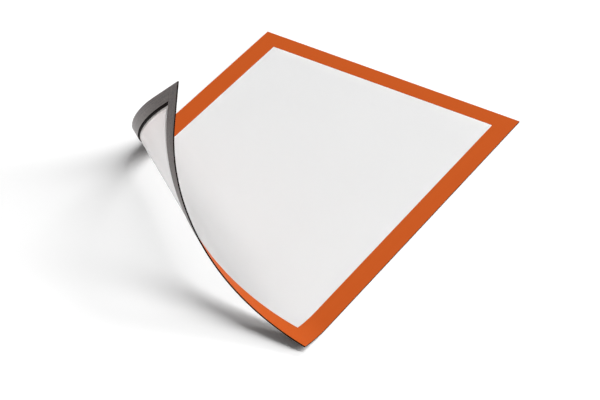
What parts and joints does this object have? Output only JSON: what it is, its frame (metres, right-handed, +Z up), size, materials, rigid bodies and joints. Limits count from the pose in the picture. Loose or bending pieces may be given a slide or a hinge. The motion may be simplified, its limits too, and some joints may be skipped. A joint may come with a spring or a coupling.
{
  "type": "magnetic photo frame",
  "caption": "Flexible magnetic photo frame: a clear film window with an orange border and magnetic strips on its back, lying flat with one corner rolled up and over.",
  "frame": {"origin": "centre of the panel's flat back, level with the back faces of the magnetic strips, on the table", "axes": "+Z up, out of the front of the flat panel; X along the short edges, Y along the long edges, with the rolled corner at -X -Y"},
  "size_m": [0.2365, 0.3228, 0.1155],
  "materials": {
    "film": "clear anti-glare film, matt",
    "border": "orange, satin",
    "magnet": "dark grey magnetic rubber, matt"
  },
  "bodies": {
    "panel": {"border_flat": "border", "film_flat": "film", "strip_left_flat": "magnet", "strip_right_flat": "magnet", "strip_top_flat": "magnet"},
    "band_01": {"border_band_01_left": "border", "border_band_01_right": "border", "film_band_01": "film", "strip_bottom_band_01": "magnet", "strip_left_band_01": "magnet", "strip_right_band_01": "magnet"},
    "band_02": {"border_band_02_left": "border", "border_band_02_right": "border", "film_band_02": "film", "strip_bottom_band_02": "magnet", "strip_left_band_02": "magnet"},
    "band_03": {"border_band_03_left": "border", "border_band_03_right": "border", "film_band_03": "film", "strip_bottom_band_03": "magnet", "strip_left_band_03": "magnet"},
    "band_04": {"border_band_04_left": "border", "border_band_04_right": "border", "film_band_04": "film", "strip_bottom_band_04": "magnet", "strip_left_band_04": "magnet"},
    "band_05": {"border_band_05_left": "border", "border_band_05_right": "border", "film_band_05": "film", "strip_bottom_band_05": "magnet", "strip_left_band_05": "magnet"},
    "band_06": {"border_band_06_left": "border", "border_band_06_right": "border", "film_band_06": "film", "strip_bottom_band_06": "magnet", "strip_left_band_06": "magnet"},
    "band_07": {"border_band_07_left": "border", "border_band_07_right": "border", "film_band_07": "film", "strip_bottom_band_07": "magnet", "strip_left_band_07": "magnet"},
    "band_08": {"border_band_08_left": "border", "border_band_08_right": "border", "film_band_08": "film", "strip_bottom_band_08": "magnet", "strip_left_band_08": "magnet"},
    "band_09": {"border_band_09_left": "border", "border_band_09_right": "border", "film_band_09": "film", "strip_bottom_band_09": "magnet", "strip_left_band_09": "magnet"},
    "band_10": {"border_band_10": "border", "film_band_10": "film", "strip_bottom_band_10": "magnet", "strip_left_band_10": "magnet"}
  },
  "joints": [
    {"name": "fold_01", "type": "hinge", "parent": "panel", "child": "band_01", "pos_m": [0, -0.065, 0.00088], "axis": [-0.8456, 0.5339, 0], "range_deg": [-12, 6]},
    {"name": "fold_02", "type": "hinge", "parent": "band_01", "child": "band_02", "pos_m": [0.00014, -0.07945, 0.00346], "axis": [-0.8324, 0.5541, -0.0051], "range_deg": [-12, 6]},
    {"name": "fold_03", "type": "hinge", "parent": "band_02", "child": "band_03", "pos_m": [-0.01095, -0.08563, 0.00845], "axis": [-0.8195, 0.5728, -0.0152], "range_deg": [-12, 6]},
    {"name": "fold_04", "type": "hinge", "parent": "band_03", "child": "band_04", "pos_m": [-0.02296, -0.08943, 0.0156], "axis": [-0.8074, 0.5893, -0.0301], "range_deg": [-12, 6]},
    {"name": "fold_05", "type": "hinge", "parent": "band_04", "child": "band_05", "pos_m": [-0.03338, -0.09216, 0.02464], "axis": [-0.7965, 0.6027, -0.0492], "range_deg": [-12, 6]},
    {"name": "fold_06", "type": "hinge", "parent": "band_05", "child": "band_06", "pos_m": [-0.04206, -0.09354, 0.03531], "axis": [-0.7873, 0.6124, -0.0721], "range_deg": [-12, 6]},
    {"name": "fold_07", "type": "hinge", "parent": "band_06", "child": "band_07", "pos_m": [-0.04885, -0.09337, 0.04728], "axis": [-0.7803, 0.6177, -0.098], "range_deg": [-12, 6]},
    {"name": "fold_08", "type": "hinge", "parent": "band_07", "child": "band_08", "pos_m": [-0.05357, -0.09148, 0.06018], "axis": [-0.7759, 0.6182, -0.1262], "range_deg": [-12, 6]},
    {"name": "fold_09", "type": "hinge", "parent": "band_08", "child": "band_09", "pos_m": [-0.05599, -0.08774, 0.07359], "axis": [-0.7745, 0.6132, -0.1555], "range_deg": [-12, 6]},
    {"name": "fold_10", "type": "hinge", "parent": "band_09", "child": "band_10", "pos_m": [-0.05592, -0.08212, 0.08708], "axis": [-0.7764, 0.6025, -0.1848], "range_deg": [-12, 6]}
  ],
  "couplings": [
    {"joint": "fold_02", "follows": "fold_01", "ratio": 1},
    {"joint": "fold_03", "follows": "fold_01", "ratio": 1},
    {"joint": "fold_04", "follows": "fold_01", "ratio": 1},
    {"joint": "fold_05", "follows": "fold_01", "ratio": 1},
    {"joint": "fold_06", "follows": "fold_01", "ratio": 1},
    {"joint": "fold_07", "follows": "fold_01", "ratio": 1},
    {"joint": "fold_08", "follows": "fold_01", "ratio": 1},
    {"joint": "fold_09", "follows": "fold_01", "ratio": 1},
    {"joint": "fold_10", "follows": "fold_01", "ratio": 1}
  ]
}
